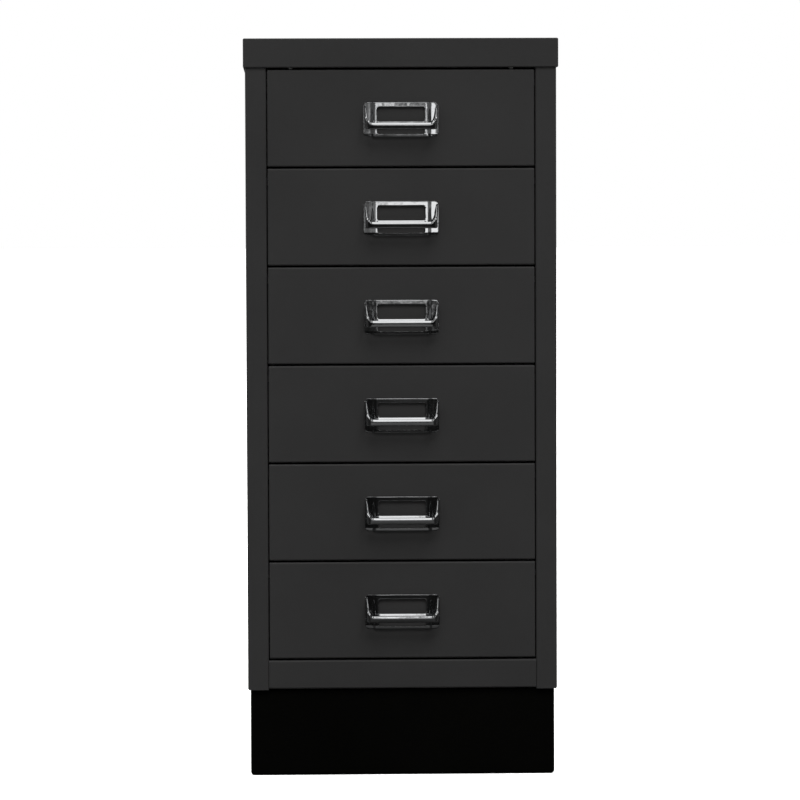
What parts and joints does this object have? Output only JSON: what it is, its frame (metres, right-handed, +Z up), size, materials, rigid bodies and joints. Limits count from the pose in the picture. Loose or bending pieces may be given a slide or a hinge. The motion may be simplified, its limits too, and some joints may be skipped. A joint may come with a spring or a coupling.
{
  "type": "drawer cabinet",
  "caption": "Tall narrow steel cabinet with flush drawers hung in side runners, chrome card-frame pull handles, a folded cap and a black plinth.",
  "frame": {"origin": "middle of the footprint on the floor under the plinth, halfway between the cabinet's back and the fronts of the handles", "axes": "+Z up, -Y towards the drawer fronts, +X to the right seen from the front"},
  "size_m": [0.279, 0.3932, 0.6554],
  "materials": {
    "body_paint": "satin powder coat",
    "plinth_paint": "satin black",
    "handle_chrome": "bright chrome plate",
    "zinc_steel": "bright zinc plate",
    "nylon": "natural nylon",
    "buffer_rubber": "soft moulded rubber"
  },
  "bodies": {
    "cabinet": {"top_cap": "body_paint", "side_panel_left": "body_paint", "side_panel_right": "body_paint", "back_panel": "body_paint", "base_pan": "body_paint", "top_cross_rail": "body_paint", "upright_front_left": "body_paint", "upright_rear_left": "body_paint", "upright_front_right": "body_paint", "upright_rear_right": "body_paint", "runner_1_left": "zinc_steel", "runner_1_right": "zinc_steel", "runner_2_left": "zinc_steel", "runner_2_right": "zinc_steel", "runner_3_left": "zinc_steel", "runner_3_right": "zinc_steel", "runner_4_left": "zinc_steel", "runner_4_right": "zinc_steel", "runner_5_left": "zinc_steel", "runner_5_right": "zinc_steel", "runner_6_left": "zinc_steel", "runner_6_right": "zinc_steel", "runner_pads": "nylon", "top_stop_buffers": "buffer_rubber", "cap_nuts": "zinc_steel", "back_rivets": "zinc_steel", "plinth": "plinth_paint", "plinth_bolts": "zinc_steel", "plinth_nuts": "zinc_steel"},
    "drawer_1": {"drawer_1_front": "body_paint", "drawer_1_tray": "body_paint", "drawer_1_handle": "handle_chrome", "drawer_1_glides": "nylon", "drawer_1_rivets": "zinc_steel"},
    "drawer_2": {"drawer_2_front": "body_paint", "drawer_2_tray": "body_paint", "drawer_2_handle": "handle_chrome", "drawer_2_glides": "nylon", "drawer_2_rivets": "zinc_steel"},
    "drawer_3": {"drawer_3_front": "body_paint", "drawer_3_tray": "body_paint", "drawer_3_handle": "handle_chrome", "drawer_3_glides": "nylon", "drawer_3_rivets": "zinc_steel"},
    "drawer_4": {"drawer_4_front": "body_paint", "drawer_4_tray": "body_paint", "drawer_4_handle": "handle_chrome", "drawer_4_glides": "nylon", "drawer_4_rivets": "zinc_steel"},
    "drawer_5": {"drawer_5_front": "body_paint", "drawer_5_tray": "body_paint", "drawer_5_handle": "handle_chrome", "drawer_5_glides": "nylon", "drawer_5_rivets": "zinc_steel"},
    "drawer_6": {"drawer_6_front": "body_paint", "drawer_6_tray": "body_paint", "drawer_6_handle": "handle_chrome", "drawer_6_glides": "nylon", "drawer_6_rivets": "zinc_steel"}
  },
  "joints": [
    {"name": "drawer_1_slide", "type": "slide", "parent": "cabinet", "child": "drawer_1", "axis": [0, -1, 0], "range_m": [0, 0.3005]},
    {"name": "drawer_2_slide", "type": "slide", "parent": "cabinet", "child": "drawer_2", "axis": [0, -1, 0], "range_m": [0, 0.3005]},
    {"name": "drawer_3_slide", "type": "slide", "parent": "cabinet", "child": "drawer_3", "axis": [0, -1, 0], "range_m": [0, 0.3005]},
    {"name": "drawer_4_slide", "type": "slide", "parent": "cabinet", "child": "drawer_4", "axis": [0, -1, 0], "range_m": [0, 0.3005]},
    {"name": "drawer_5_slide", "type": "slide", "parent": "cabinet", "child": "drawer_5", "axis": [0, -1, 0], "range_m": [0, 0.3005]},
    {"name": "drawer_6_slide", "type": "slide", "parent": "cabinet", "child": "drawer_6", "axis": [0, -1, 0], "range_m": [0, 0.3005]}
  ]
}
